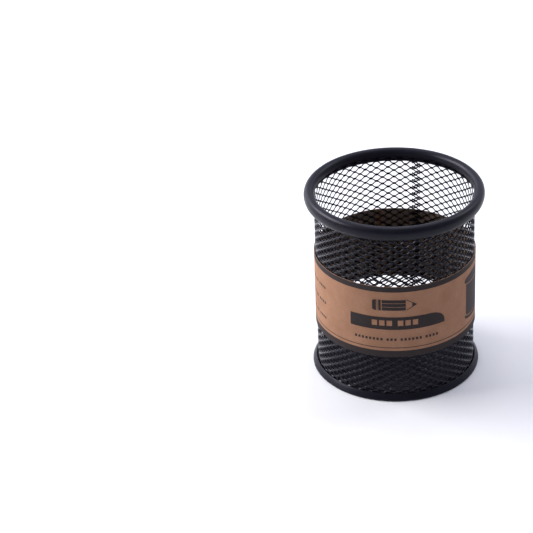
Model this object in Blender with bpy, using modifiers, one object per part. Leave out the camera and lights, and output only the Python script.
"""Mesh pen cup: a rolled steel rim, an expanded-metal wall, a pressed steel base and a card sleeve.

Metres, +Z up. The origin is the centre of the ring that the cup stands on, and Z is the cup's axis.
Every piece is turned or bent sheet, so each one is an open surface given its thickness by Solidify.
"""

from math import cos, pi, radians, sin

import bmesh
import bpy

# Driving dimensions
RIM_DIAMETER = 0.090
CUP_HEIGHT = 0.100
SHEET = 0.0005
CARD = 0.00035
GAP = 0.0003
TURN_STEPS = 64

# Rolled rim: an oval tube outboard of the wall, open below between its two lips for the wall's edge
TUBE_HALF_WIDTH = 0.00265
TUBE_RADIUS = RIM_DIAMETER / 2 - TUBE_HALF_WIDTH
TUBE_WIDEST_HEIGHT = 0.0968
TUBE_BOTTOM = 0.0927
INNER_LIP_ANGLE = radians(195)
OUTER_LIP_ANGLE = radians(-122)
RIM_ARC_STEP = radians(22.5)

# Wall: straight for most of its height, spread outwards at both ends into the rim and the hem
WALL_RADIUS = 0.03985
WALL_TOP_SPREAD = 0.0012
WALL_TOP_STRAIGHT = 0.0932
WALL_TOP = 0.0955
WALL_BOTTOM_SPREAD = 0.00115
WALL_BOTTOM_STRAIGHT = 0.0036
WALL_BOTTOM = 0.0014
WALL_SPREAD_STEPS = 4

# Base: a flat floor held off the table, a side that slopes out to the foot, and a hem outside
FLOOR_HEIGHT = 0.0042
FLOOR_RADIUS = 0.0382
FLOOR_BEND = 0.0008
SIDE_SLOPE = radians(26)
FOOT_INNER_RADIUS = 0.04095
FOOT_BEND = 0.0005
HEM_RADIUS = 0.0427
HEM_MIDDLE = (0.04145, 0.00255)
HEM_TOP = (0.04075, 0.0034)
BEND_STEPS = 4

# Sleeve: a strip of card wrapped once round the wall, its end glued over its start at the back
SLEEVE_BOTTOM = 0.0253
SLEEVE_HEIGHT = 0.0404
SLEEVE_RADIUS = WALL_RADIUS + SHEET / 2 + GAP + CARD / 2
SLEEVE_LAP = radians(14)
SLEEVE_LAP_MIDDLE = radians(110)
SLEEVE_LAP_LIFT = CARD + 0.0001
LAP_STEPS = 4


def clear_scene():
    """Remove whatever the scene starts with."""
    for thing in list(bpy.data.objects):
        bpy.data.objects.remove(thing, do_unlink=True)


def make_collection(name):
    collection = bpy.data.collections.new(name)
    bpy.context.scene.collection.children.link(collection)
    return collection


def make_material(name, colour, roughness, metallic):
    material = bpy.data.materials.new(name)
    material.use_nodes = True
    shader = material.node_tree.nodes["Principled BSDF"]
    shader.inputs["Base Color"].default_value = (*colour, 1.0)
    shader.inputs["Roughness"].default_value = roughness
    shader.inputs["Metallic"].default_value = metallic
    return material


def arc(centre, half_width, half_height, start, end, steps):
    """Points on an elliptical arc in the profile plane, from start to end (radians)."""
    points = []
    for i in range(steps + 1):
        angle = start + (end - start) * i / steps
        points.append((centre[0] + half_width * cos(angle), centre[1] + half_height * sin(angle)))
    return points


def place(mesh, name, collection, parent, material, height=0.0):
    """Put a mesh in the scene, on the cup's axis and at the given height."""
    part = bpy.data.objects.new(name, mesh)
    part.location = (0.0, 0.0, height)
    part.parent = parent
    part.data.materials.append(material)
    collection.objects.link(part)
    return part


def give_thickness(part, thickness):
    solidify = part.modifiers.new("thickness", "SOLIDIFY")
    solidify.thickness = thickness
    solidify.offset = 0.0
    solidify.use_even_offset = True
    part.data.shade_smooth()
    part.data.set_sharp_from_angle(angle=radians(40))


def turned_shell(name, profile, collection, parent, material):
    """Turn an open (radius, height) profile about Z and give the surface the sheet's thickness."""
    outline = bmesh.new()
    corners = [outline.verts.new((radius, 0.0, height)) for radius, height in profile]
    for upper, lower in zip(corners, corners[1:]):
        outline.edges.new((upper, lower))
    mesh = bpy.data.meshes.new(name)
    outline.to_mesh(mesh)
    outline.free()

    part = place(mesh, name, collection, parent, material)
    turn = part.modifiers.new("turn", "SCREW")
    turn.angle = 2 * pi
    turn.steps = TURN_STEPS
    turn.render_steps = TURN_STEPS
    turn.use_merge_vertices = True
    turn.merge_threshold = 0.00001
    turn.use_smooth_shade = True
    give_thickness(part, SHEET)
    return part


def rim_profile():
    """Round the oval tube from its inner lip, over the top and under to its outer lip."""
    centre = (TUBE_RADIUS, TUBE_WIDEST_HEIGHT)
    half_width = TUBE_HALF_WIDTH - SHEET / 2
    above = CUP_HEIGHT - TUBE_WIDEST_HEIGHT - SHEET / 2
    below = TUBE_WIDEST_HEIGHT - TUBE_BOTTOM - SHEET / 2
    stretches = [
        (INNER_LIP_ANGLE, pi, below),
        (pi, pi / 2, above),
        (pi / 2, 0.0, above),
        (0.0, -pi / 2, below),
        (-pi / 2, OUTER_LIP_ANGLE, below),
    ]
    points = []
    for start, end, half_height in stretches:
        steps = max(2, round(abs(end - start) / RIM_ARC_STEP))
        stretch = arc(centre, half_width, half_height, start, end, steps)
        points += stretch if not points else stretch[1:]
    return points


def spread_end(straight_height, end_height, spread, power):
    """Points from where the wall is still straight to its end, bent outwards by the spread."""
    points = []
    for i in range(WALL_SPREAD_STEPS + 1):
        share = i / WALL_SPREAD_STEPS
        height = straight_height + (end_height - straight_height) * share
        points.append((WALL_RADIUS + spread * share ** power, height))
    return points


def wall_profile():
    """Down the wall, with each end eased outwards by its spread."""
    top = spread_end(WALL_TOP_STRAIGHT, WALL_TOP, WALL_TOP_SPREAD, power=1.5)
    bottom = spread_end(WALL_BOTTOM_STRAIGHT, WALL_BOTTOM, WALL_BOTTOM_SPREAD, power=1.1)
    return top[::-1] + bottom


def base_profile():
    """From the hem's top edge down its outside, under the foot, up the side and in to the axis."""
    foot_height = SHEET / 2 + FOOT_BEND
    outer_centre = (HEM_RADIUS - SHEET / 2 - FOOT_BEND, foot_height)
    outer = arc(outer_centre, FOOT_BEND, FOOT_BEND, radians(35), radians(-90), BEND_STEPS)
    inner_centre = (FOOT_INNER_RADIUS, foot_height)
    inner = arc(inner_centre, FOOT_BEND, FOOT_BEND, radians(-90), SIDE_SLOPE - pi, BEND_STEPS)
    floor_centre = (FLOOR_RADIUS, FLOOR_HEIGHT - FLOOR_BEND)
    bend = arc(floor_centre, FLOOR_BEND, FLOOR_BEND, SIDE_SLOPE, radians(90), BEND_STEPS)
    return [HEM_TOP, HEM_MIDDLE] + outer + inner + bend + [(0.0, FLOOR_HEIGHT)]


def sleeve_plan():
    """The strip's middle line seen from above: once round, then lifted over its own start."""
    points = []
    start = SLEEVE_LAP_MIDDLE - SLEEVE_LAP / 2
    turn = 2 * pi + SLEEVE_LAP
    steps = TURN_STEPS + LAP_STEPS
    for i in range(steps + 1):
        travelled = turn * i / steps
        lift = SLEEVE_LAP_LIFT * min(1.0, max(0.0, (travelled - 2 * pi + SLEEVE_LAP) / SLEEVE_LAP))
        radius = SLEEVE_RADIUS + lift
        points.append((radius * cos(start + travelled), radius * sin(start + travelled)))
    return points


def make_sleeve(collection, parent, material):
    """Stand the strip's middle line up to the sleeve's height and give it the card's thickness."""
    strip = bmesh.new()
    lower = [strip.verts.new((x, y, 0.0)) for x, y in sleeve_plan()]
    upper = [strip.verts.new((x, y, SLEEVE_HEIGHT)) for x, y in sleeve_plan()]
    for i in range(len(lower) - 1):
        strip.faces.new((lower[i], lower[i + 1], upper[i + 1], upper[i]))
    mesh = bpy.data.meshes.new("card_sleeve")
    strip.to_mesh(mesh)
    strip.free()
    sleeve = place(mesh, "card_sleeve", collection, parent, material, SLEEVE_BOTTOM)
    give_thickness(sleeve, CARD)
    return sleeve


def main():
    clear_scene()
    collection = make_collection("mesh_pen_cup")
    cup = bpy.data.objects.new("mesh_pen_cup", None)
    collection.objects.link(cup)

    black_steel = make_material("black_powder_coat", (0.016, 0.016, 0.020), 0.42, 0.0)
    mesh_steel = make_material("black_coated_mesh", (0.018, 0.018, 0.021), 0.50, 0.0)
    card = make_material("brown_card", (0.42, 0.25, 0.15), 0.85, 0.0)

    turned_shell("rim_ring", rim_profile(), collection, cup, black_steel)
    turned_shell("mesh_wall", wall_profile(), collection, cup, mesh_steel)
    turned_shell("base_pan", base_profile(), collection, cup, black_steel)
    make_sleeve(collection, cup, card)


main()
